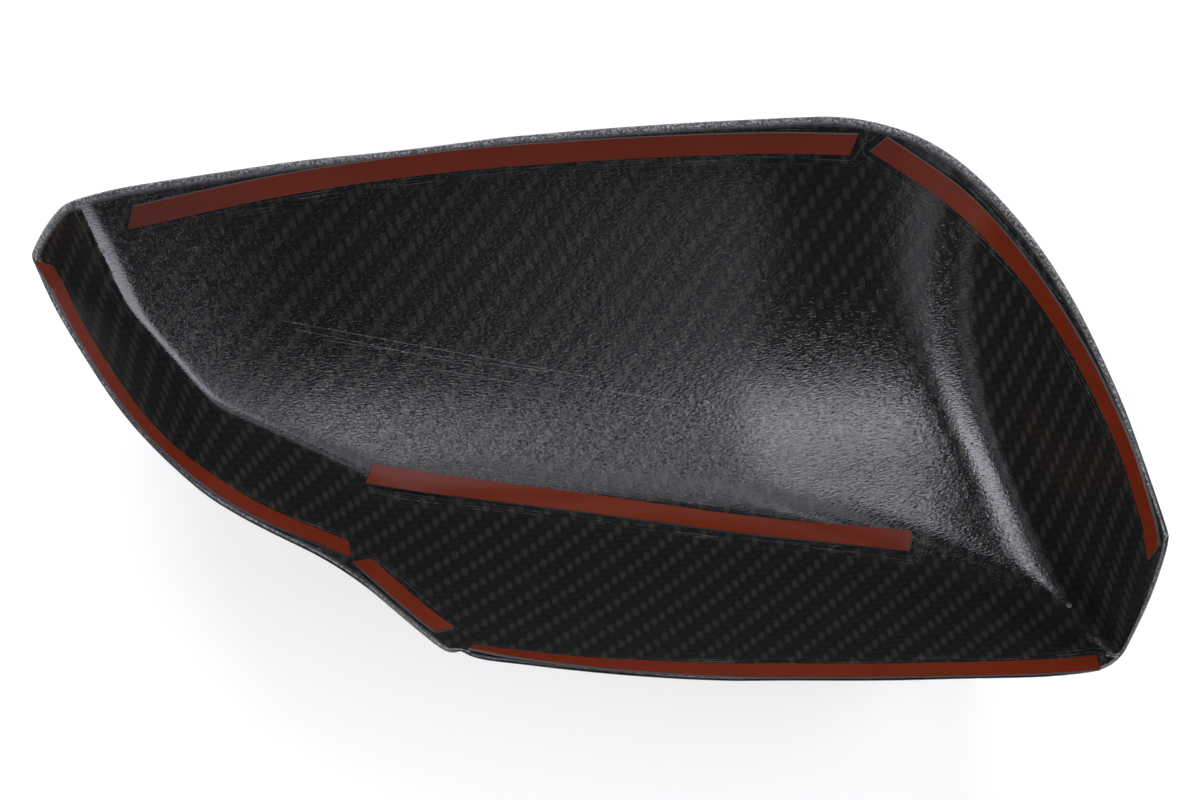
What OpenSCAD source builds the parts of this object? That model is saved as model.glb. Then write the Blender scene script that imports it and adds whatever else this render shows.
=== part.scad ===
// Stick-on wing mirror cover: one thin shell of woven laminate with six strips of foam tape.
// The shell is drawn in its own frame, looking into the hollow: X outboard, Y towards the
// top edge, Z out of the hollow. It is then turned to lie on its outer face.

/* [Laminate] */
// Thickness of the laminate
laminate_t = 1; // [0.8:0.1:1.6]
// Grid lines across the shell, from the bottom edge to the top edge
rows = 35; // [28:1:40]
// Grid lines along the shell, inboard of the arm notch
inboard_columns = 31; // [20:1:36]
// Grid lines along the shell, outboard of the arm notch
outboard_columns = 43; // [28:1:48]

/* [Outer face] */
// Lengthwise place of the deepest point
deepest_x = 30; // [10:1:50]
// Height of the deepest line above the middle of the frame
deepest_y = -15; // [-20:1:-10]
// Radius of the long curve towards the arm
inboard_radius = 500; // [400:10:700]
// Radius of the long curve towards the outboard end
outboard_radius = 200; // [150:10:300]
// Radius of the curve up to the top edge
top_radius = 140; // [120:5:180]

/* [Walls] */
// Steepness of the lower face at its foot
lower_angle = 49; // [44:1:52]
// Steepness of the outboard wall at its foot
outboard_angle = 50; // [46:1:53]
// Steepness of the flange over the arm at its foot, beside the notch
arm_angle = 55; // [50:1:58]
// Steepness of the flange halfway to the inboard tip
flange_angle = 67; // [62:1:69]
// Steepness of the flange at the inboard tip
tip_angle = 60; // [56:1:63]
// Height over which the lower face blends into the outer face, at its outboard end
lower_blend = 12; // [8:1:18]
// Height over which the outboard wall blends in
outboard_blend = 13; // [6:1:18]
// Height over which the arm flange blends in
arm_blend = 5.5; // [5:0.5:8]

/* [Rolled corner] */
// How far the edge rolls inwards at the notch corner
roll_in = 4; // [0:0.5:5]
// Width of the edge that is rolled
roll_w = 8; // [6:0.5:12]
// Length along the bottom edge over which the roll fades
roll_fade = 62; // [40:1:80]

/* [Foam tape] */
// Width of the tape
tape_w = 5; // [3:0.5:7]
// Thickness of the foam
foam_t = 0.4; // [0.3:0.1:0.8]
// Thickness of the liner film
liner_t = 0.1; // [0.05:0.05:0.2]
// Clearance between the shell and the foam
seat_gap = 0.3; // [0.3:0.05:0.5]
// Length of one step along a strip
tape_step = 6; // [4:0.5:10]

/* [Rest] */
// Turn about the long axis, as it comes to rest
rest_pitch = -5; // [-12:0.5:4]
// Turn about the cross axis, as it comes to rest
rest_roll = -2; // [-8:0.5:4]

/* [Hidden] */

// The trimmed edge, seen into the hollow, as six runs between its corners
top_run = [[-114.7, 44], [-105.5, 46.5], [-88.5, 49.5], [-66.5, 53], [-44.5, 55.5], [-22, 58.5]];
outboard_run = [[-22, 58.5], [0, 60.5], [22.5, 62], [45, 63], [54, 63], [62.5, 61.5], [71.5, 58.5],
    [80.5, 53], [88.5, 45], [96.5, 33.5], [103.8, 19], [111, 0.5], [114.7, -11], [117.9, -21.5],
    [120.1, -29]];
end_run = [[113.5, -58], [115.4, -56.4], [116.6, -53.4], [118.6, -43.7], [119.9, -33.8], [120.1, -29]];
arm_run = [[-121, 30.6], [-117.5, 22], [-111, 11], [-102.8, -1.6], [-94.7, -11.6], [-86.8, -19.4],
    [-78.3, -24.9], [-69.8, -29.5], [-61.3, -33.9], [-52.5, -39.5], [-43.5, -46], [-32.5, -53.5]];
bottom_run = [[-32.5, -53.5], [-27.5, -57], [-17, -58], [0, -59], [17, -59.5], [34, -59.5], [61, -60],
    [78.5, -60], [96.5, -60], [106, -59.5], [111, -59], [113.5, -58]];
tip_run = [[-121, 30.6], [-120.9, 32.5], [-119.6, 37], [-117.9, 41], [-116.4, 43.1], [-114.7, 44]];

// Middle lines of the strips
top_path = [[-104, 40.5], [-71.5, 48], [-36, 53.5], [0, 56.5], [36, 58], [57, 57.5]];
outboard_path = [[62.5, 57.5], [72, 51.5], [81, 45], [89.5, 36], [97.5, 24.5], [105, 10.5], [109.5, 0],
    [113.5, -10.5], [116.5, -21], [118, -26.5], [119, -32.5]];
inboard_path = [[-120.1, 29.3], [-113.2, 15.7], [-104.1, 1.3], [-96.1, -9.1], [-88.1, -16.7],
    [-79.3, -22.6], [-70.8, -27.1], [-55.9, -33.5]];
notch_path = [[-53, -36], [-48.5, -39.5], [-39, -46.5], [-33.5, -50]];
bottom_path = [[-27.5, -55.8], [-17, -57], [0, -58.2], [34, -58.7], [61, -59.2], [96, -59.2], [110, -58.6]];
crease_path = [[-53, -17], [-37, -19.5], [0, -24.5], [37, -29.5], [71.5, -32.5]];

// Walls: a point of the foot line, the uphill direction, the steepness at the foot, how fast the
// wall steepens, and how fast it flattens towards the top edge
walls = [
    [[-109.4, 29.2], -171.3, tip_angle, 0.012, 0],
    [[-98, 10], -148.5, flange_angle, 0.012, 0],
    [[-79.4, -6], -124.2, arm_angle, 0.008, 0],
    [[20, -26.4], -97, lower_angle, 0.011, 0],
    [[88.5, 0], 18.3, outboard_angle, 0.018, 0.008]];
flange_join = 6;    // height over which the flange's walls blend
wall_join = 9;      // height over which the flange and the lower face blend
soft_from = -70;    // lengthwise place where the crease starts to soften
soft_to = -35;      // lengthwise place where it is softest
pocket = 3;         // length over which the roll starts beside the notch corner
roll_drop = 0.55;   // share of the roll by which the edge also drops
probe = 0.05;       // step for measuring slopes
look_ahead = 0.01;  // share of a strip's length over which its direction is taken

function sq(a) = a * a;
function unit(a) = a / norm(a);

// Larger of two heights, rounded where they cross
function blend_max(a, b, k) = max(a, b) + k / 6 * pow(max(0, 1 - abs(a - b) / k), 3);

// The outer face, seen from inside
function face_z(x, y) = sq(x - deepest_x) / (2 * (x < deepest_x ? inboard_radius : outboard_radius))
    + sq(max(0, y - deepest_y)) / (2 * top_radius);

// One wall: a face that climbs from its foot line and steepens towards its trimmed edge
function wall_z(w, x, y) =
    let (across = [cos(w[1]), sin(w[1])], q = [x, y] - w[0], climb = q * across,
        along = q[1] * across[0] - q[0] * across[1])
    face_z(w[0][0], w[0][1]) + tan(w[2]) * (climb + w[3] * sq(max(0, climb))) * (1 - w[4] * along);

// The flange and the lower face as one bent wall, then the outer face, then the outboard wall
function flange_z(x, y) = blend_max(blend_max(wall_z(walls[0], x, y), wall_z(walls[1], x, y), flange_join),
    wall_z(walls[2], x, y), flange_join);
function bend_z(x, y) = blend_max(flange_z(x, y), wall_z(walls[3], x, y), wall_join);
function crease_blend(x) = arm_blend
    + (lower_blend - arm_blend) * min(1, max(0, (x - soft_from) / (soft_to - soft_from)));
function hollow_z(x, y) = blend_max(blend_max(face_z(x, y), bend_z(x, y), crease_blend(x)),
    wall_z(walls[4], x, y), outboard_blend);

// Cubic curve through points, cut into short straight steps
function bend_through(p, fine = 6) = [for (i = [0:len(p) - 2], s = [0:fine - 1])
    let (a = p[max(0, i - 1)], b = p[i], c = p[i + 1], d = p[min(len(p) - 1, i + 2)], t = s / fine)
    b + t * (c - a) / 2 + t * t * (a - 2.5 * b + 2 * c - d / 2) + t * t * t * (3 * b - a - 3 * c + d) / 2,
    p[len(p) - 1]];
function travelled(p, i = 0, sum = 0) = i >= len(p) ? [] :
    let (s = sum + (i == 0 ? 0 : norm(p[i] - p[i - 1]))) concat([s], travelled(p, i + 1, s));
// Point at a share t of a curve's length
function at_share(p, far, t) = let (want = t * far[len(far) - 1])
    let (i = min(len(p) - 2, max(0, len([for (f = far) if (f <= want) 1]) - 1)))
    p[i] + (p[i + 1] - p[i]) * (want - far[i]) / (far[i + 1] - far[i]);
function even_points(p, n) = let (c = bend_through(p), far = travelled(c))
    [for (i = [0:n]) at_share(c, far, i / n)];

// Height of the bottom edge at x, from its own points
function edge_y(x) = let (p = bottom_curve)
    x <= p[0][0] ? p[0][1] : x >= p[len(p) - 1][0] ? p[len(p) - 1][1] : lookup(x, p);
bottom_curve = bend_through(bottom_run);

// The inner surface at a point of the plan, with the bottom edge rolled in at the notch corner
function roll_share(x, y) = let (u = x - bottom_run[0][0])
    sq(max(0, 1 - (y - edge_y(x)) / roll_w)) * min(1, max(0, u / pocket)) * max(0, 1 - u / roll_fade);
function inner_at(q) = let (r = roll_in * roll_share(q[0], q[1]))
    [q[0], q[1] + r, hollow_z(q[0], q[1]) - r * roll_drop];
function normal_at(q) = unit(cross(inner_at(q + [probe, 0]) - inner_at(q - [probe, 0]),
    inner_at(q + [0, probe]) - inner_at(q - [0, probe])));

// Grid over the plan: a patch stretched between the four sides of the trimmed edge
far_side = concat(even_points(top_run, inboard_columns),
    [for (i = [1:outboard_columns]) even_points(outboard_run, outboard_columns)[i]]);
near_side = concat(even_points(arm_run, inboard_columns),
    [for (i = [1:outboard_columns]) even_points(bottom_run, outboard_columns)[i]]);
left_side = even_points(tip_run, rows);
right_side = even_points(end_run, rows);
columns = inboard_columns + outboard_columns;
plan = [for (i = [0:columns], j = [0:rows]) let (u = i / columns, v = j / rows)
    (1 - v) * near_side[i] + v * far_side[i] + (1 - u) * left_side[j] + u * right_side[j]
    - (1 - u) * ((1 - v) * near_side[0] + v * far_side[0])
    - u * ((1 - v) * near_side[columns] + v * far_side[columns])];
inner_points = [for (q = plan) inner_at(q)];
outer_points = [for (i = [0:len(plan) - 1]) inner_points[i] - laminate_t * normal_at(plan[i])];

// Rest: turned as it lies, then set on the ground with the origin under its middle
function turned(p) = let (y = p[1] * cos(rest_pitch) - p[2] * sin(rest_pitch),
        z = p[1] * sin(rest_pitch) + p[2] * cos(rest_pitch))
    [p[0] * cos(rest_roll) + z * sin(rest_roll), y, z * cos(rest_roll) - p[0] * sin(rest_roll)];
all_turned = [for (p = concat(inner_points, outer_points)) turned(p)];
function span(k) = [min([for (p = all_turned) p[k]]), max([for (p = all_turned) p[k]])];
rest_shift = [-(span(0)[0] + span(0)[1]) / 2, -(span(1)[0] + span(1)[1]) / 2, -span(2)[0]];
function laid(points) = [for (p = points) turned(p) + rest_shift];

// A closed skin between two grids of the same size
module skin(low, high, n, m) {
    size = (n + 1) * (m + 1);
    function at(i, j) = i * (m + 1) + j;
    rim = concat([for (i = [0:n - 1]) at(i, 0)], [for (j = [0:m - 1]) at(n, j)],
        [for (i = [n:-1:1]) at(i, m)], [for (j = [m:-1:1]) at(0, j)]);
    polyhedron(laid(concat(low, high)), concat(
        [for (i = [0:n - 1], j = [0:m - 1]) each [[at(i, j), at(i + 1, j), at(i, j + 1)],
            [at(i, j + 1), at(i + 1, j), at(i + 1, j + 1)]] ],
        [for (i = [0:n - 1], j = [0:m - 1]) each [[at(i, j) + size, at(i, j + 1) + size, at(i + 1, j) + size],
            [at(i, j + 1) + size, at(i + 1, j + 1) + size, at(i + 1, j) + size]] ],
        [for (k = [0:len(rim) - 1]) let (a = rim[k], b = rim[(k + 1) % len(rim)])
            each [[a, a + size, b], [b, a + size, b + size]]]), convexity = 6);
}

// Stations of a strip: three plan points across the width at each step along the middle line
function strip_plan(path, slant_start, slant_end) =
    let (c = bend_through(path), far = travelled(c), n = ceil(far[len(far) - 1] / tape_step))
    [for (i = [0:n], k = [-1:1])
        let (q = at_share(c, far, i / n), d = unit(at_share(c, far, min(1, i / n + look_ahead))
                - at_share(c, far, max(0, i / n - look_ahead))), side = [-d[1], d[0]],
            climb = inner_at(q + probe * side) - inner_at(q - probe * side),
            share = 2 * probe / norm(climb), slant = i == 0 ? slant_start : i == n ? slant_end : 0)
        q + side * k * share * tape_w / 2 + d * k * slant];

// A layer of a strip, from one height above the shell to another
module strip(path, slant_start, slant_end, low, high) {
    q = strip_plan(path, slant_start, slant_end);
    function lifted(h) = [for (p = q) inner_at(p) + h * normal_at(p)];
    skin(lifted(low), lifted(high), len(q) / 3 - 1, 2);
}
module foam(path, a, b) color([0.25, 0.25, 0.26]) strip(path, a, b, seat_gap, seat_gap + foam_t);
module liner(path, a, b) color([0.42, 0.13, 0.09])
    strip(path, a, b, seat_gap + foam_t, seat_gap + foam_t + liner_t);

module cover_shell() color([0.09, 0.09, 0.1]) skin(outer_points, inner_points, columns, rows);

// Each strip's end cuts slant a little, as they are snipped by hand
module top_tape() foam(top_path, 1.2, 0.8);
module outboard_tape() foam(outboard_path, 0.8, -1.6);
module inboard_tape() foam(inboard_path, 1, -1);
module notch_tape() foam(notch_path, 1.4, 1.6);
module bottom_tape() foam(bottom_path, 0.4, 0);
module crease_tape() foam(crease_path, 0.4, 0.2);
module top_liner() liner(top_path, 1.2, 0.8);
module outboard_liner() liner(outboard_path, 0.8, -1.6);
module inboard_liner() liner(inboard_path, 1, -1);
module notch_liner() liner(notch_path, 1.4, 1.6);
module bottom_liner() liner(bottom_path, 0.4, 0);
module crease_liner() liner(crease_path, 0.4, 0.2);

cover_shell();
top_tape();
outboard_tape();
inboard_tape();
notch_tape();
bottom_tape();
crease_tape();
top_liner();
outboard_liner();
inboard_liner();
notch_liner();
bottom_liner();
crease_liner();
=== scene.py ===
"""Wing mirror cover: a thin shell of woven carbon laminate with six strips of foam tape and red liner."""
import bmesh
import bpy
import math
import numpy as np
from mathutils import Matrix, Vector
from mathutils.bvhtree import BVHTree
from mathutils.geometry import barycentric_transform
from mathutils.kdtree import KDTree


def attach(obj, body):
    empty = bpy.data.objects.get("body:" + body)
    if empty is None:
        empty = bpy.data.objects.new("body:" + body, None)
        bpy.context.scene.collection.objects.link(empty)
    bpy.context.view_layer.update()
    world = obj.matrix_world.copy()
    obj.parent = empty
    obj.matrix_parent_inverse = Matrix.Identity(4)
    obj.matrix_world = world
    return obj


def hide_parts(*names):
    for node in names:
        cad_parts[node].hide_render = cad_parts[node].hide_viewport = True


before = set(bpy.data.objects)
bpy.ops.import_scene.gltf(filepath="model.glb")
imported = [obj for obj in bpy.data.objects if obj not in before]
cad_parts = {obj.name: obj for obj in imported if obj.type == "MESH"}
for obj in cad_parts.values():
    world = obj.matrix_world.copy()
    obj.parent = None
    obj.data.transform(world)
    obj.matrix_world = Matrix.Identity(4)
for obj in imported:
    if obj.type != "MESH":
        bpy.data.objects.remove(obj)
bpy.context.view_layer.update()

MM = 0.001

# The cover's own frame, looking into the hollow: X outboard, Y towards the top edge, Z out of the
# hollow. It lies turned by these two angles, and its middle is shifted by this much (mm).
REST_PITCH = -5
REST_ROLL = -2
REST_SHIFT = Vector((2.208, -3.849, -0.518))
LAID = (Matrix.Translation(REST_SHIFT * MM) @ Matrix.Rotation(math.radians(REST_ROLL), 4, "Y")
        @ Matrix.Rotation(math.radians(REST_PITCH), 4, "X"))
LIFTED = LAID.inverted()

STRIPS = ("top", "outboard", "inboard", "notch", "bottom", "crease")

# Camera: straight above the frame of the cover, at this height (mm), with this lens (mm on 36 mm)
CAMERA_HEIGHT = 640
CAMERA_LENS = 82.8

# Form of the hollow (mm, degrees), as the part's source draws it
DEEPEST = (30, -15)
LONG_RADIUS = (500, 200)
TOP_RADIUS = 140
CREASE_BLEND = (5.5, 12)
CREASE_SOFTENS = (-70, -35)
OUTBOARD_BLEND = 13
FLANGE_JOIN = 6
WALL_JOIN = 9
# Foot point, uphill direction, steepness at the foot, steepening, flattening towards the top edge
TIP_WALL = ((-109.4, 29.2), -171.3, 60, 0.012, 0)
FLANGE_WALL = ((-98, 10), -148.5, 67, 0.012, 0)
ARM_WALL = ((-79.4, -6), -124.2, 55, 0.008, 0)
LOWER_WALL = ((20, -26.4), -97, 49, 0.011, 0)
OUTBOARD_WALL = ((88.5, 0), 18.3, 50, 0.018, 0.008)

WALL_THICKNESS = 1

# Sides of the shell, in the order of its materials. The cut edge begins where neighbouring faces turn by
# more than this angle (degrees).
INSIDE, OUTSIDE, CUT = 0, 1, 2
EDGE_TURN = 45

# Woven cloth: 2x2 twill, one tow every 2 mm
TOW = 2.0
NET_TOWS = 2            # tows in one step of the draped net
NET_START = (0, 0)      # where the cloth was first pressed down (mm)
WARP_TURN = 6           # degrees the warp is turned anticlockwise
WEFT_TURN = ((-60, 40), (0, 14))    # the weft turns by this much between these two places (mm, degrees)
NET_RIGHT, NET_LEFT, NET_UP, NET_DOWN = 44, 42, 22, 28   # steps laid to each side
LINE_ROUNDS, NODE_ROUNDS = 12, 8    # rounds in which one step of the net settles to its length

# Width of the hand-sanded margin at the trimmed edge, against height on the cover (mm)
SANDED_AT = (-40, 0, 40)
SANDED_WIDTH = (0.25, 0.8, 1.6)

# Outboard valley, where the bag film wrinkled (mm). A place across it is given by the height of the
# outboard wall's surface over the floor's: the wrinkles have their middle at this height and fade out
# this far from it. Along it, they are strongest at its end.
VALLEY_OFFSET = -4
VALLEY_REACH = 14
VALLEY_END = (-34, -18)
VALLEY_STRENGTH = (3, 1)

# Rough narrow end (mm): it turns into the smooth floor between these places, and it sets in where the
# floor stands this far over the flange's walls
ROUGH_END = (-92, -62)
ROUGH_RISE = 3

# Distance from one mark of a surface pattern to the next (mm), or its width and its length
FIBRE_STREAK = (0.1111, 4)
LEATHER_CREASE = (0.3571, 1.111)
WRINKLE = 0.7143
CURL = 0.7692
SANDING_SPECK = 0.5556
SCUFF = (0.2, 16.67)
SCRATCH_BREAK = 3.333
EDGE_SPECK = 0.4
FOAM_CELL = 0.25
DYE_CLOUD = 11.11
LINER_WAVE = 6.25

# Marks on the inner face, in plan (mm): scratches as start, end and half width, and pits and pale dots
# as middle and radius
SCRATCHES = (((-72, 18), (-3, 5.4), 0.08), ((-69, 16), (-30, 8), 0.07), ((-62, 13.5), (-12, 6.5), 0.07),
             ((-55, 10), (-8, 2), 0.06), ((-4.2, 3), (24.9, -1.4), 0.1), ((-1.4, -2.8), (24.7, -5.8), 0.06),
             ((92, 36), (101, 22), 0.05), ((84, 38), (93, 30), 0.05))
PITS = (((89.2, -12.7), 0.8), ((89.9, -11.4), 0.8), ((85.2, -10), 0.4), ((88.2, -5), 0.4))
DOTS = (((24.9, -0.6), 0.55), ((106, -46.4), 0.7), ((68, -40), 0.2), ((-48, -8), 0.2))

# Foam whose underside lies lower than the first over the laminate is pressed down to the second (mm)
PRESSED_GAP = 0.45
PRESSED_TO = 0.05

# Studio: tints of the lights that the resin mirrors and of the fills, and the room's faint light
MIRRORED_TINT = (0.95, 0.92, 1.04)
FILL_TINT = (1, 1, 1)
ROOM_TINT = (0.9, 0.95, 1.0, 1)
ROOM_STRENGTH = 0.05
TABLE_HALF = 1500       # half the table's width (mm)


def linear(code):
    """A six-figure sRGB colour as linear RGBA."""
    parts = [int(code[i:i + 2], 16) / 255 for i in (0, 2, 4)]
    return [p / 12.92 if p <= 0.04045 else ((p + 0.055) / 1.055) ** 2.4 for p in parts] + [1]


def put(tree, kind, inputs=None, out=0, **settings):
    """Adds one node with its settings, sets or links its inputs, and hands back one output."""
    made = tree.nodes.new("ShaderNode" + kind)
    for name, value in settings.items():
        setattr(made, name, value)
    for place, value in (inputs or {}).items():
        if isinstance(value, bpy.types.NodeSocket):
            tree.links.new(value, made.inputs[place])
        else:
            made.inputs[place].default_value = value
    return made if out is None else made.outputs[out]


def new_material(name):
    """An empty material and its node tree."""
    made = bpy.data.materials.new(name)
    made.use_nodes = True
    made.node_tree.nodes.clear()
    return made, made.node_tree


# Form of the hollow

def larger(a, b, k):
    """Larger of two heights, rounded where they cross."""
    return np.maximum(a, b) + k / 6 * np.maximum(0, 1 - np.abs(a - b) / k) ** 3


def face_z(x, y):
    """Height of the outer face, seen from inside."""
    radius = np.where(x < DEEPEST[0], LONG_RADIUS[0], LONG_RADIUS[1])
    return (x - DEEPEST[0]) ** 2 / (2 * radius) + np.maximum(0, y - DEEPEST[1]) ** 2 / (2 * TOP_RADIUS)


def wall_z(wall, x, y):
    """Height of one wall that climbs from its foot and steepens towards its edge."""
    foot, uphill, angle, bow, twist = wall
    dx, dy = x - foot[0], y - foot[1]
    c, s = math.cos(math.radians(uphill)), math.sin(math.radians(uphill))
    climb = dx * c + dy * s
    along = dy * c - dx * s
    steep = math.tan(math.radians(angle))
    return face_z(*foot) + steep * (climb + bow * np.maximum(0, climb) ** 2) * (1 - twist * along)


def hollow_z(x, y):
    """Height of the inner surface over a point of the plan."""
    flange = larger(larger(wall_z(TIP_WALL, x, y), wall_z(FLANGE_WALL, x, y), FLANGE_JOIN),
                    wall_z(ARM_WALL, x, y), FLANGE_JOIN)
    bend = larger(flange, wall_z(LOWER_WALL, x, y), WALL_JOIN)
    blend = np.interp(x, CREASE_SOFTENS, CREASE_BLEND)
    return larger(larger(face_z(x, y), bend, blend), wall_z(OUTBOARD_WALL, x, y), OUTBOARD_BLEND)


def on_laminate(x, y):
    """The point of the inner surface over a point of the plan (mm), as the cover lies (m)."""
    return LAID @ (Vector((x, y, float(hollow_z(x, y)))) * MM)


# The cloth as it drapes: a net of tows of fixed length, laid from one point outwards

def tow_line(start, sign, turns, count):
    """Points along one tow that starts the net, each one net step further over the surface."""
    points = [np.array(start, float)]
    length = NET_TOWS * TOW
    for _ in range(count):
        here = points[-1]
        turn = math.radians(np.interp(here[0], *turns))
        step = sign * np.array((math.cos(turn), math.sin(turn)))
        go = length
        for _ in range(LINE_ROUNDS):
            rise = hollow_z(*(here + go * step)) - hollow_z(*here)
            go = length / math.sqrt(1 + (rise / go) ** 2)
        points.append(here + go * step)
    return np.array(points)


def quarter_net(right, up, across, along):
    """Net nodes of one quarter: each lies one step from its two inner neighbours."""
    length = NET_TOWS * TOW
    net = np.zeros((across + 1, along + 1, 2))
    net[:, 0] = tow_line(NET_START, right, WEFT_TURN, across)
    net[0, :] = tow_line(NET_START, up, ((0, 1), (90 + WARP_TURN, 90 + WARP_TURN)), along)
    for k in range(2, across + along + 1):
        i = np.arange(max(1, k - along), min(across, k - 1) + 1)
        j = k - i
        ends = [net[i - 1, j], net[i, j - 1]]
        q = ends[0] + ends[1] - net[i - 1, j - 1]
        guess = q.copy()
        for _ in range(NODE_ROUNDS):
            z = hollow_z(q[:, 0], q[:, 1])
            zx = (hollow_z(q[:, 0] + 0.01, q[:, 1]) - z) / 0.01
            zy = (hollow_z(q[:, 0], q[:, 1] + 0.01) - z) / 0.01
            rows = []
            for end in ends:
                d = q - end
                dz = z - hollow_z(end[:, 0], end[:, 1])
                rows.append((2 * (d[:, 0] + dz * zx), 2 * (d[:, 1] + dz * zy),
                             (d ** 2).sum(1) + dz ** 2 - length ** 2))
            (a, b, e), (c, f, g) = rows
            det = a * f - b * c
            det = np.where(np.abs(det) < 0.5, np.copysign(0.5, det), det)
            move = np.stack(((b * g - f * e) / det, (c * e - a * g) / det), 1)
            q = q + np.clip(move, -length / 2, length / 2)
        lost = np.abs(q - guess).max(1) > 2 * length
        q[lost] = guess[lost]
        net[i, j] = q
    return net


class Cloth:
    """The draped net, which gives the tow numbers (across, along) of any point of the plan."""

    def __init__(self):
        corners, numbers, faces = [], [], []
        for right, across in ((1, NET_RIGHT), (-1, NET_LEFT)):
            for up, along in ((1, NET_UP), (-1, NET_DOWN)):
                net = quarter_net(right, up, across, along)
                base = len(corners)
                for i in range(across + 1):
                    for j in range(along + 1):
                        corners.append(Vector((net[i, j, 0], net[i, j, 1], 0)))
                        numbers.append(Vector((right * i, up * j, 0)) * NET_TOWS)
                row = along + 1
                for i in range(across):
                    for j in range(along):
                        a = base + i * row + j
                        faces += [(a, a + row, a + 1), (a + 1, a + row, a + row + 1)]
        self.corners, self.numbers, self.faces = corners, numbers, faces
        self.tree = BVHTree.FromPolygons(corners, faces)

    def tows(self, x, y):
        """Tow numbers at a point of the plan (mm)."""
        face = self.faces[self.tree.find_nearest(Vector((x, y, 0)))[2]]
        return barycentric_transform(Vector((x, y, 0)), *[self.corners[k] for k in face],
                                     *[self.numbers[k] for k in face])


# Pieces

def merged_copy(node):
    """A copy of a CAD node's mesh, merged and with its triangles joined into four-sided faces."""
    bm = bmesh.new()
    bm.from_mesh(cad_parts[node].data)
    bmesh.ops.remove_doubles(bm, verts=bm.verts, dist=1e-6)
    bmesh.ops.join_triangles(bm, faces=bm.faces, angle_face_threshold=math.radians(50),
                             angle_shape_threshold=math.radians(60))
    bm.normal_update()
    return bm


def crease_edges(bm, angle, weight):
    """Marks the edges that stay nearly sharp when the mesh is subdivided."""
    layer = bm.edges.layers.float.new("crease_edge")
    for edge in bm.edges:
        if len(edge.link_faces) == 2 and edge.calc_face_angle() > math.radians(angle):
            edge[layer] = weight


def subdivided(bm, name, levels):
    """The mesh after subdivision, as a new mesh."""
    rough = bpy.data.meshes.new(name + "_rough")
    bm.to_mesh(rough)
    bm.free()
    holder = bpy.data.objects.new(name + "_rough", rough)
    bpy.context.scene.collection.objects.link(holder)
    step = holder.modifiers.new("fine", "SUBSURF")
    step.levels = step.render_levels = levels
    bpy.context.view_layer.update()
    graph = bpy.context.evaluated_depsgraph_get()
    made = bpy.data.meshes.new_from_object(holder.evaluated_get(graph))
    bpy.data.objects.remove(holder)
    made.name = name
    return made


def finish_piece(mesh, name, node, materials):
    """Makes an object of a mesh, in place of its CAD node and riding on the same body."""
    piece = bpy.data.objects.new(name, mesh)
    bpy.context.scene.collection.objects.link(piece)
    mesh.materials.clear()
    for material in materials:
        mesh.materials.append(material)
    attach(piece, "root")
    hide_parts(node)


def mark_sides(bm):
    """Sorts the shell's faces into inside, outside and cut edge.

    Each side spreads from its most central face that lies level, until the form turns sharply.
    """
    up = LAID.to_3x3() @ Vector((0, 0, 1))
    for face in bm.faces:
        face.material_index = CUT
        face.tag = False
    for side, sign in ((INSIDE, 1), (OUTSIDE, -1)):
        level = [face for face in bm.faces if sign * face.normal.dot(up) > 0.9]
        start = min(level, key=lambda face: face.calc_center_median().length)
        heap = [start]
        start.tag = True
        while heap:
            face = heap.pop()
            face.material_index = side
            for edge in face.edges:
                if edge.calc_face_angle(0) < math.radians(EDGE_TURN):
                    for other in edge.link_faces:
                        if not other.tag:
                            other.tag = True
                            heap.append(other)


def valley_share(x, y):
    """How strongly the resin is wrinkled at a point of the plan, in the outboard valley."""
    offset = wall_z(OUTBOARD_WALL, x, y) - face_z(x, y)
    inside = np.clip(1 - abs(offset - VALLEY_OFFSET) / VALLEY_REACH, 0, 1)
    return float(inside * np.interp(y, VALLEY_END, VALLEY_STRENGTH))


def rough_share(x, y):
    """How rough the floor of the narrow end is at a point; the flange beside it is smooth."""
    above = face_z(x, y) - max(wall_z(TIP_WALL, x, y), wall_z(FLANGE_WALL, x, y), wall_z(ARM_WALL, x, y))
    return float(np.interp(x, ROUGH_END, (1, 0)) * np.clip(above / ROUGH_RISE, 0, 1))


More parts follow.
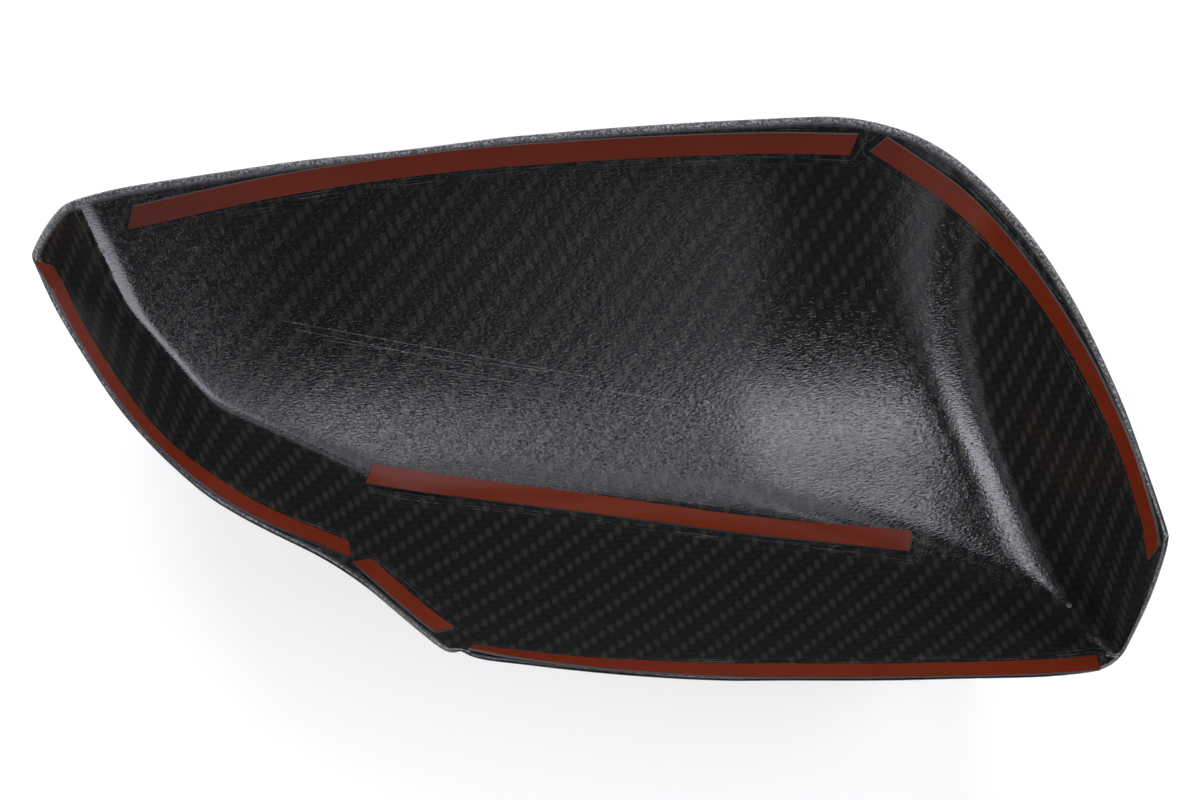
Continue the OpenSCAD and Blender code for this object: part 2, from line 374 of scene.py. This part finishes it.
def make_shell(cloth, materials):
    """The laminate shell: the CAD form refined, with the cloth's tow numbers and edge distances."""
    bm = merged_copy("cover_shell")
    mark_sides(bm)
    crease_edges(bm, angle=50, weight=0.9)
    mesh = subdivided(bm, "laminate_shell", levels=2)
    bm = bmesh.new()
    bm.from_mesh(mesh)
    bm.normal_update()

    rim_tree = KDTree(len(bm.verts))
    for vert in bm.verts:
        kinds = {face.material_index for face in vert.link_faces}
        if CUT in kinds and INSIDE in kinds:
            rim_tree.insert(vert.co, vert.index)
    rim_tree.balance()
    strip_faces = bmesh.new()
    for strip in STRIPS:
        strip_faces.from_mesh(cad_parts[strip + "_liner"].data)
    strip_tree = BVHTree.FromBMesh(strip_faces)
    strip_faces.free()

    weave = bm.loops.layers.uv.new("weave")
    margin_layer = bm.verts.layers.float.new("margin")
    sanding_layer = bm.verts.layers.float.new("sanding")
    strip_layer = bm.verts.layers.float.new("strip_mm")
    valley_layer = bm.verts.layers.float.new("valley")
    rough_layer = bm.verts.layers.float.new("rough_end")
    turn = LIFTED.to_3x3()
    numbers = {}
    for vert in bm.verts:
        spot = (LIFTED @ vert.co) / MM
        sides = {face.material_index for face in vert.link_faces}
        if OUTSIDE in sides and INSIDE not in sides:
            # The outer face carries the tows of the inner face opposite
            spot = spot - turn @ vert.normal * WALL_THICKNESS
        numbers[vert.index] = cloth.tows(spot.x, spot.y)
        width = np.interp(spot.y, SANDED_AT, SANDED_WIDTH)
        vert[margin_layer] = rim_tree.find(vert.co)[2] / MM / width
        vert[sanding_layer] = width / SANDED_WIDTH[-1]
        vert[strip_layer] = strip_tree.find_nearest(vert.co)[3] / MM
        vert[valley_layer] = valley_share(spot.x, spot.y)
        vert[rough_layer] = rough_share(spot.x, spot.y)
    for face in bm.faces:
        face.smooth = True
        for loop in face.loops:
            loop[weave].uv = numbers[loop.vert.index][:2]
    bm.to_mesh(mesh)
    bm.free()
    finish_piece(mesh, "laminate_shell", "cover_shell", materials)


def make_strip(strip, shell_tree, foam, liner):
    """One strip: the foam pressed down on the shell, and the liner film on it."""
    for layer, material, slot in (("tape", foam, "foam_tape"), ("liner", liner, "liner_film")):
        bm = merged_copy(f"{strip}_{layer}")
        crease_edges(bm, angle=14, weight=1.0)
        for vert in bm.verts:
            spot, normal, _, gap = shell_tree.find_nearest(vert.co)
            if gap < PRESSED_GAP * MM:
                vert.co = spot + normal * PRESSED_TO * MM
        mesh = subdivided(bm, f"{strip}_{layer}_piece", levels=2)
        for polygon in mesh.polygons:
            polygon.use_smooth = False
        finish_piece(mesh, f"{strip}_{layer}_piece", f"{strip}_{layer}", [material])


# Materials

def twill(tree):
    """Nodes of the 2x2 twill: which tow is on top, how high it stands, and its fibre streaks."""
    uv = put(tree, "UVMap", uv_map="weave")
    split = put(tree, "SeparateXYZ", {0: uv}, None)
    u, v = split.outputs[0], split.outputs[1]
    column = put(tree, "Math", {0: u}, operation="FLOOR")
    row = put(tree, "Math", {0: v}, operation="FLOOR")
    # The pattern repeats every four tows and steps on by one in each row. The warp lies on top for two.
    step = put(tree, "Math", {0: column, 1: row}, operation="SUBTRACT")
    phase = put(tree, "Math", {0: step, 1: 4.0}, operation="FLOORED_MODULO")
    warp_up = put(tree, "Math", {0: phase, 1: 1.5}, operation="LESS_THAN")
    part_u = put(tree, "Math", {0: u}, operation="FRACT")
    part_v = put(tree, "Math", {0: v}, operation="FRACT")
    across = put(tree, "Mix", {0: warp_up, 2: part_v, 3: part_u})
    from_middle = put(tree, "Math", {0: across, 1: 2.0, 2: -1.0}, operation="MULTIPLY_ADD")
    flank = put(tree, "Math", {0: put(tree, "Math", {0: from_middle}, operation="ABSOLUTE"), 1: 3.0},
                operation="POWER")
    warp_along = put(tree, "Math", {0: put(tree, "Math", {0: part_v, 1: phase}, operation="SUBTRACT"),
                                    1: 1.0}, operation="ADD")
    weft_along = put(tree, "Math", {0: put(tree, "Math", {0: part_u, 1: phase}, operation="ADD"),
                                    1: 2.0}, operation="SUBTRACT")
    along = put(tree, "Mix", {0: warp_up, 2: weft_along, 3: warp_along})
    from_mid_along = put(tree, "Math", {0: put(tree, "Math", {0: along, 1: 1.0}, operation="SUBTRACT")},
                         operation="ABSOLUTE")
    dive = put(tree, "Math", {0: from_mid_along, 1: 4.0}, operation="POWER")
    sunk = put(tree, "Math", {0: flank, 1: dive}, operation="MAXIMUM")
    height = put(tree, "Math", {0: 1.0, 1: sunk}, operation="SUBTRACT", use_clamp=True)
    # Crown: 1 at the middle of each tow's visible piece, falling softly to 0 at its rim
    round_across = put(tree, "Math", {0: from_middle, 1: from_middle}, operation="MULTIPLY")
    round_along = put(tree, "Math", {0: from_mid_along, 1: from_mid_along}, operation="MULTIPLY")
    crown = put(tree, "Math", {0: put(tree, "Math", {0: 1.0, 1: round_across}, operation="SUBTRACT"),
                               1: put(tree, "Math", {0: 1.0, 1: round_along}, operation="SUBTRACT")},
                operation="MULTIPLY", use_clamp=True)
    # Fibre bundles: streaks 0.1 mm wide and 4 mm long, drawn coarser than the real filaments of 7 microns
    wide, long = TOW / FIBRE_STREAK[0], TOW / FIBRE_STREAK[1]
    warp_grain = put(tree, "Mapping", {0: uv, 3: (wide, long, 1.0)})
    weft_grain = put(tree, "Mapping", {0: uv, 3: (long, wide, 1.0)})
    grain = put(tree, "Mix", {0: warp_up, 4: weft_grain, 5: warp_grain}, out=1, data_type="VECTOR")
    streak = put(tree, "TexNoise", {"Vector": grain, "Scale": 1.0, "Detail": 2.0})
    return {"uv": uv, "warp_up": warp_up, "height": height, "crown": crown, "streak": streak}


def line_mark(tree, spot, start, end, half_width):
    """1 along a scratch between two points of the plan, 0 beside it."""
    first, last = on_laminate(*start), on_laminate(*end)
    along = (last - first).normalized()
    across = along.cross(LAID.to_3x3() @ Vector((0, 0, 1))).normalized()
    half_length = (last - first).length / 2
    offset = put(tree, "VectorMath", {0: spot, 1: first}, operation="SUBTRACT")
    beside = put(tree, "VectorMath", {0: offset, 1: across}, out=1, operation="DOT_PRODUCT")
    near = put(tree, "Math", {0: beside, 1: 0.0, 2: half_width * MM}, operation="COMPARE")
    travel = put(tree, "VectorMath", {0: offset, 1: along}, out=1, operation="DOT_PRODUCT")
    within = put(tree, "Math", {0: travel, 1: half_length, 2: half_length}, operation="COMPARE")
    return put(tree, "Math", {0: near, 1: within}, operation="MULTIPLY")


def spot_mark(tree, spot, middle, radius):
    """1 on a small round mark at a point of the plan, 0 beside it."""
    far = put(tree, "VectorMath", {0: spot, 1: on_laminate(*middle)}, out=1, operation="DISTANCE")
    return put(tree, "MapRange", {0: far, 1: 0.7 * radius * MM, 2: radius * MM, 3: 1.0, 4: 0.0})


def laminate_inside():
    """Carbon twill in epoxy, hand laid against a bag: satin resin with a fine leathery grain."""
    made, tree = new_material("carbon_twill_bag_side")
    cloth = twill(tree)
    # Painted highlights: the crowns of the warp are painted lighter, as soft spots about 2 mm wide
    painted_crown_highlight = put(tree, "MapRange", {0: cloth["crown"], 1: 0.1, 2: 0.9, 3: 0.25, 4: 1.0})
    painted_crown_highlight = put(tree, "Math", {0: painted_crown_highlight, 1: cloth["warp_up"]}, operation="MULTIPLY")
    base = put(tree, "Mix", {0: painted_crown_highlight, 6: linear("151617"), 7: linear("242320")}, out=2,
               data_type="RGBA")
    shade = put(tree, "MapRange", {0: cloth["streak"], 1: 0.3, 2: 0.7, 3: 0.7, 4: 1.3})
    # Painted shade and highlight: every tow is painted darker towards its rim and lighter at its crown
    painted_tow_shading = put(tree, "MapRange", {0: cloth["crown"], 1: 0.0, 2: 1.0, 3: 0.75, 4: 1.15})
    tone = put(tree, "Math", {0: shade, 1: painted_tow_shading}, operation="MULTIPLY")
    # Fibre colour: the streaks, with the painted crown highlights and the painted tow shade
    fibre = put(tree, "VectorMath", {0: base, 3: tone}, operation="SCALE")
    # Leathery grain of the bag film: creases about 1.1 mm long and 0.36 mm apart
    crease_scale = (TOW / LEATHER_CREASE[1], TOW / LEATHER_CREASE[0], 1.0)
    creases = put(tree, "Mapping", {0: cloth["uv"], 3: crease_scale})
    leather = put(tree, "TexNoise", {"Vector": creases, "Scale": 1.0, "Detail": 1.5, "Distortion": 0.6})
    resin = put(tree, "Bump", {"Height": leather, "Strength": 1.0, "Distance": 0.042 * MM})
    # Wrinkles in the outboard valley: about 0.7 mm apart
    valley = put(tree, "Attribute", attribute_name="valley", out="Fac")
    wrinkle = put(tree, "TexNoise", {"Vector": cloth["uv"], "Scale": TOW / WRINKLE, "Detail": 3.0,
                                     "Distortion": 0.8})
    resin = put(tree, "Bump", {"Height": wrinkle, "Strength": valley, "Distance": 0.03 * MM,
                               "Normal": resin})
    # Rough narrow end: the bag film's curls, about 0.8 mm across, with pale sanding dust on them
    rough = put(tree, "Attribute", attribute_name="rough_end", out="Fac")
    curl = put(tree, "TexNoise", {"Vector": cloth["uv"], "Scale": TOW / CURL, "Detail": 4.0,
                                  "Distortion": 1.5})
    resin = put(tree, "Bump", {"Height": curl, "Strength": rough, "Distance": 0.04 * MM, "Normal": resin})
    # Sanded margin along the trimmed edge: up to 1.6 mm wide, with specks of 0.6 mm and finer
    spot = put(tree, "TexCoord", out="Object")
    speck = put(tree, "TexNoise", {"Vector": spot, "Scale": 1 / (SANDING_SPECK * MM), "Detail": 4.0,
                                   "Roughness": 0.7})
    margin = put(tree, "Attribute", attribute_name="margin", out="Fac")
    ragged = put(tree, "Math", {0: speck, 1: 2.4, 2: margin}, operation="MULTIPLY_ADD")
    sanded = put(tree, "MapRange", {0: ragged, 1: 1.9, 2: 2.5, 3: 1.0, 4: 0.0})
    dust = put(tree, "MapRange", {0: speck, 1: 0.46, 2: 0.66, 3: 0.0, 4: 1.0})
    sanded_tone = put(tree, "Mix", {0: dust, 6: linear("222325"), 7: linear("8b8d91")}, out=2,
                      data_type="RGBA")
    # Scuffs beside the strips: hair lines 0.2 mm wide and finer, about 17 mm long, within 4 mm of the tape
    beside = put(tree, "Attribute", attribute_name="strip_mm", out="Fac")
    place = put(tree, "SeparateXYZ", {0: spot}, None)
    scuff_at = put(tree, "CombineXYZ", {
        0: put(tree, "Math", {0: beside, 1: SCUFF[0]}, operation="DIVIDE"),
        1: put(tree, "Math", {0: place.outputs[0], 1: SCUFF[1] * MM}, operation="DIVIDE")})
    scuff = put(tree, "TexNoise", {"Vector": scuff_at, "Scale": 1.0, "Detail": 3.0})
    scuff = put(tree, "MapRange", {0: scuff, 1: 0.55, 2: 0.68, 3: 0.0, 4: 0.4})
    close = put(tree, "MapRange", {0: beside, 1: 2.0, 2: 4.5, 3: 1.0, 4: 0.0})
    marks = put(tree, "Math", {0: scuff, 1: close}, operation="MULTIPLY")
    curl_dust = put(tree, "MapRange", {0: curl, 1: 0.58, 2: 0.65, 3: 0.0, 4: 0.4})
    curl_dust = put(tree, "Math", {0: curl_dust, 1: rough}, operation="MULTIPLY")
    marks = put(tree, "Math", {0: marks, 1: curl_dust}, operation="MAXIMUM")
    # Scratches, fainter and stronger about every 3 mm, then specks, and pits painted near-black as painted
    # shade in their hollows
    broken = put(tree, "TexNoise", {"Vector": spot, "Scale": 1 / (SCRATCH_BREAK * MM), "Detail": 2.0})
    broken = put(tree, "MapRange", {0: broken, 1: 0.4, 2: 0.55, 3: 0.3, 4: 0.6})
    for start, end, half in SCRATCHES:
        hair = put(tree, "Math", {0: line_mark(tree, spot, start, end, half), 1: broken},
                   operation="MULTIPLY")
        marks = put(tree, "Math", {0: marks, 1: hair}, operation="MAXIMUM")
    for middle, radius in DOTS:
        marks = put(tree, "Math", {0: marks, 1: spot_mark(tree, spot, middle, radius)},
                    operation="MAXIMUM")
    pit_shade = 0.0
    for middle, radius in PITS:
        pit_shade = put(tree, "Math", {0: pit_shade, 1: spot_mark(tree, spot, middle, radius)}, operation="MAXIMUM")
    # Matt patches: the sanded margin, scuffs, scratches and dots, and the pits' painted shade
    worn_and_pit_shade = put(tree, "Math", {0: sanded, 1: marks}, operation="MAXIMUM")
    worn_and_pit_shade = put(tree, "Math", {0: worn_and_pit_shade, 1: pit_shade}, operation="MAXIMUM")
    # The pits are painted near-black: painted shade inside them
    worn_and_pit_shade_tone = put(tree, "Mix", {0: pit_shade, 6: sanded_tone, 7: linear("060606")}, out=2, data_type="RGBA")
    # The fibres' glint turns by a quarter from warp to weft
    along_fibre = put(tree, "MapRange", {0: cloth["warp_up"], 1: 0.0, 2: 1.0, 3: 0.25, 4: 0.0})
    tow_bump = put(tree, "Bump", {"Height": cloth["height"], "Strength": 0.5, "Distance": 0.04 * MM})
    shine = put(tree, "BsdfPrincipled", {
        "Base Color": fibre, "Metallic": 0.14, "Roughness": 0.34, "Anisotropic": 0.85,
        "Specular IOR Level": 0.0,
        "Anisotropic Rotation": along_fibre,
        "Tangent": put(tree, "Tangent", direction_type="UV_MAP", uv_map="weave"),
        "Normal": tow_bump,
        "Coat Weight": 1.0, "Coat Roughness": 0.055, "Coat IOR": 1.5, "Coat Normal": resin})
    matt = put(tree, "BsdfPrincipled", {"Base Color": worn_and_pit_shade_tone, "Roughness": 0.5})
    whole = put(tree, "MixShader", {0: worn_and_pit_shade, 1: shine, 2: matt})
    put(tree, "OutputMaterial", {0: whole}, None)
    return made


def laminate_outside():
    """Carbon twill under polished clear coat: deep black weave below a hard mirror gloss."""
    made, tree = new_material("carbon_twill_polished")
    cloth = twill(tree)
    # Painted sheen: the warp tows are painted lighter than the weft, as the fibres' glint
    base = put(tree, "Mix", {0: cloth["warp_up"], 6: linear("141516"), 7: linear("3a3b3d")}, out=2,
               data_type="RGBA")
    shade = put(tree, "MapRange", {0: cloth["streak"], 1: 0.3, 2: 0.7, 3: 0.7, 4: 1.25})
    colour = put(tree, "VectorMath", {0: base, 3: shade}, operation="SCALE")
    tow_bump = put(tree, "Bump", {"Height": cloth["height"], "Strength": 0.5, "Distance": 0.1 * MM})
    shader = put(tree, "BsdfPrincipled", {
        "Base Color": colour, "Roughness": 0.4, "Normal": tow_bump, "Metallic": 0.3,
        "Coat Weight": 1.0, "Coat Roughness": 0.04, "Coat IOR": 1.5})
    put(tree, "OutputMaterial", {0: shader}, None)
    return made


def cut_edge():
    """Laminate sawn and sanded by hand: dull black with pale fibre specks of 0.4 mm and finer."""
    made, tree = new_material("sanded_laminate_edge")
    spot = put(tree, "TexCoord", out="Object")
    speck = put(tree, "TexNoise", {"Vector": spot, "Scale": 1 / (EDGE_SPECK * MM), "Detail": 3.0})
    tone = put(tree, "MapRange", {0: speck, 1: 0.4, 2: 0.7, 3: 0.0, 4: 1.0})
    sanding = put(tree, "Attribute", attribute_name="sanding", out="Fac")
    tone = put(tree, "Math", {0: tone, 1: sanding}, operation="MULTIPLY")
    colour = put(tree, "Mix", {0: tone, 6: linear("141416"), 7: linear("77787a")}, out=2,
                 data_type="RGBA")
    shader = put(tree, "BsdfPrincipled", {"Base Color": colour, "Roughness": 0.6})
    put(tree, "OutputMaterial", {0: shader}, None)
    return made


def tape_foam():
    """Acrylic foam tape: soft matt grey with a fine cell of 0.25 mm."""
    made, tree = new_material("acrylic_foam_grey")
    spot = put(tree, "TexCoord", out="Object")
    cell = put(tree, "TexNoise", {"Vector": spot, "Scale": 1 / (FOAM_CELL * MM), "Detail": 2.0})
    colour = put(tree, "Mix", {0: cell, 6: linear("29292b"), 7: linear("454548")}, out=2,
                 data_type="RGBA")
    shader = put(tree, "BsdfPrincipled", {"Base Color": colour, "Roughness": 0.8})
    put(tree, "OutputMaterial", {0: shader}, None)
    return made


def liner_film():
    """Polyethylene release film, dyed red-brown: smooth, with a soft sheen that waves every 6 mm.

    Its dye is a little uneven, in clouds about 11 mm across.
    """
    made, tree = new_material("red_release_film")
    spot = put(tree, "TexCoord", out="Object")
    cloud = put(tree, "TexNoise", {"Vector": spot, "Scale": 1 / (DYE_CLOUD * MM), "Detail": 4.0})
    colour = put(tree, "Mix", {0: cloud, 6: linear("4b170a"), 7: linear("5a1e0c")}, out=2,
                 data_type="RGBA")
    wave = put(tree, "TexNoise", {"Vector": spot, "Scale": 1 / (LINER_WAVE * MM), "Detail": 2.0})
    bump = put(tree, "Bump", {"Height": wave, "Strength": 0.4, "Distance": 0.1 * MM})
    shader = put(tree, "BsdfPrincipled", {"Base Color": colour, "Roughness": 0.3, "Normal": bump,
                                        "Specular IOR Level": 0.3})
    put(tree, "OutputMaterial", {0: shader}, None)
    return made


# Stage

def make_floor():
    """A plain white table under the cover, which glows slightly, so that its far parts stay white."""
    bm = bmesh.new()
    bmesh.ops.create_grid(bm, x_segments=1, y_segments=1, size=TABLE_HALF * MM)
    mesh = bpy.data.meshes.new("table")
    bm.to_mesh(mesh)
    bm.free()
    table = bpy.data.objects.new("table", mesh)
    bpy.context.scene.collection.objects.link(table)
    made, tree = new_material("white_table")
    shader = put(tree, "BsdfPrincipled", {
        "Base Color": linear("f4f4f6"), "Roughness": 0.7, "Emission Color": linear("ffffff"),
        "Emission Strength": 0.2})
    put(tree, "OutputMaterial", {0: shader}, None)
    mesh.materials.append(made)


def soft_light(name, middle, size, radiance, mirrored=True):
    """A flat soft light facing down on the cover: middle and size in mm, at the camera's height.

    A mirrored light shows in the resin and doesn't light the fibres. A fill lights them and isn't
    mirrored. The radiance is in watts per square metre and steradian.
    """
    data = bpy.data.lights.new(name, "AREA")
    data.shape = "RECTANGLE"
    data.size, data.size_y = size[0] * MM, size[1] * MM
    data.energy = radiance * math.pi * data.size * data.size_y
    data.color = MIRRORED_TINT if mirrored else FILL_TINT
    lamp = bpy.data.objects.new(name, data)
    lamp.matrix_world = LAID @ Matrix.Translation(Vector((*middle, CAMERA_HEIGHT)) * MM)
    lamp.visible_glossy = mirrored
    lamp.visible_diffuse = not mirrored
    bpy.context.scene.collection.objects.link(lamp)


def make_lights():
    """Soft studio light: the lights that the resin mirrors, as the photo's glares show them, and fills."""
    soft_light("window", (-49, -105), (202, 88), 7)
    soft_light("window_top", (-49, -40), (202, 42), 4.5)
    soft_light("above_window", (5, 90), (110, 215), 1.8)
    soft_light("beside_window", (62, 190), (50, 360), 3)
    soft_light("window_right", (112, -75), (44, 120), 5.2)
    soft_light("column", (58, -385), (22, 430), 1.8)
    soft_light("left_panel", (-440, -125), (320, 200), 8.5)
    soft_light("left_far", (-850, -360), (400, 200), 1.2)
    soft_light("left_fill", (-225, -450), (150, 360), 1.0)
    soft_light("right_band", (860, -100), (1260, 460), 6.2)
    soft_light("right_low", (580, -420), (640, 180), 3)
    soft_light("upper_block", (180, 190), (150, 460), 1.5)
    soft_light("right_panel", (480, 330), (380, 400), 1.4)
    soft_light("side_fill_left", (-1300, -250), (600, 900), 24, mirrored=False)
    soft_light("side_fill_right", (1300, 150), (600, 900), 11.5, mirrored=False)
    soft_light("back_fill", (0, 1100), (1200, 500), 22, mirrored=False)
    soft_light("front_fill", (-450, -1000), (900, 400), 9, mirrored=False)
    world = bpy.data.worlds.new("room")
    world.use_nodes = True
    background = world.node_tree.nodes["Background"]
    background.inputs["Color"].default_value = ROOM_TINT
    background.inputs["Strength"].default_value = ROOM_STRENGTH
    bpy.context.scene.world = world


def make_camera():
    """The photograph's camera."""
    data = bpy.data.cameras.new("camera")
    data.sensor_width = 36
    data.lens = CAMERA_LENS
    camera = bpy.data.objects.new("camera", data)
    camera.matrix_world = LAID @ Matrix.Translation((0, 0, CAMERA_HEIGHT * MM))
    bpy.context.scene.collection.objects.link(camera)
    bpy.context.scene.camera = camera


make_camera()
make_floor()
make_lights()
bpy.context.scene.view_settings.view_transform = "Standard"
draped = Cloth()
make_shell(draped, [laminate_inside(), laminate_outside(), cut_edge()])
shell_form = bmesh.new()
shell_form.from_mesh(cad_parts["cover_shell"].data)
laminate_tree = BVHTree.FromBMesh(shell_form)
shell_form.free()
foam_material, liner_material = tape_foam(), liner_film()
for strip_name in STRIPS:
    make_strip(strip_name, laminate_tree, foam_material, liner_material)
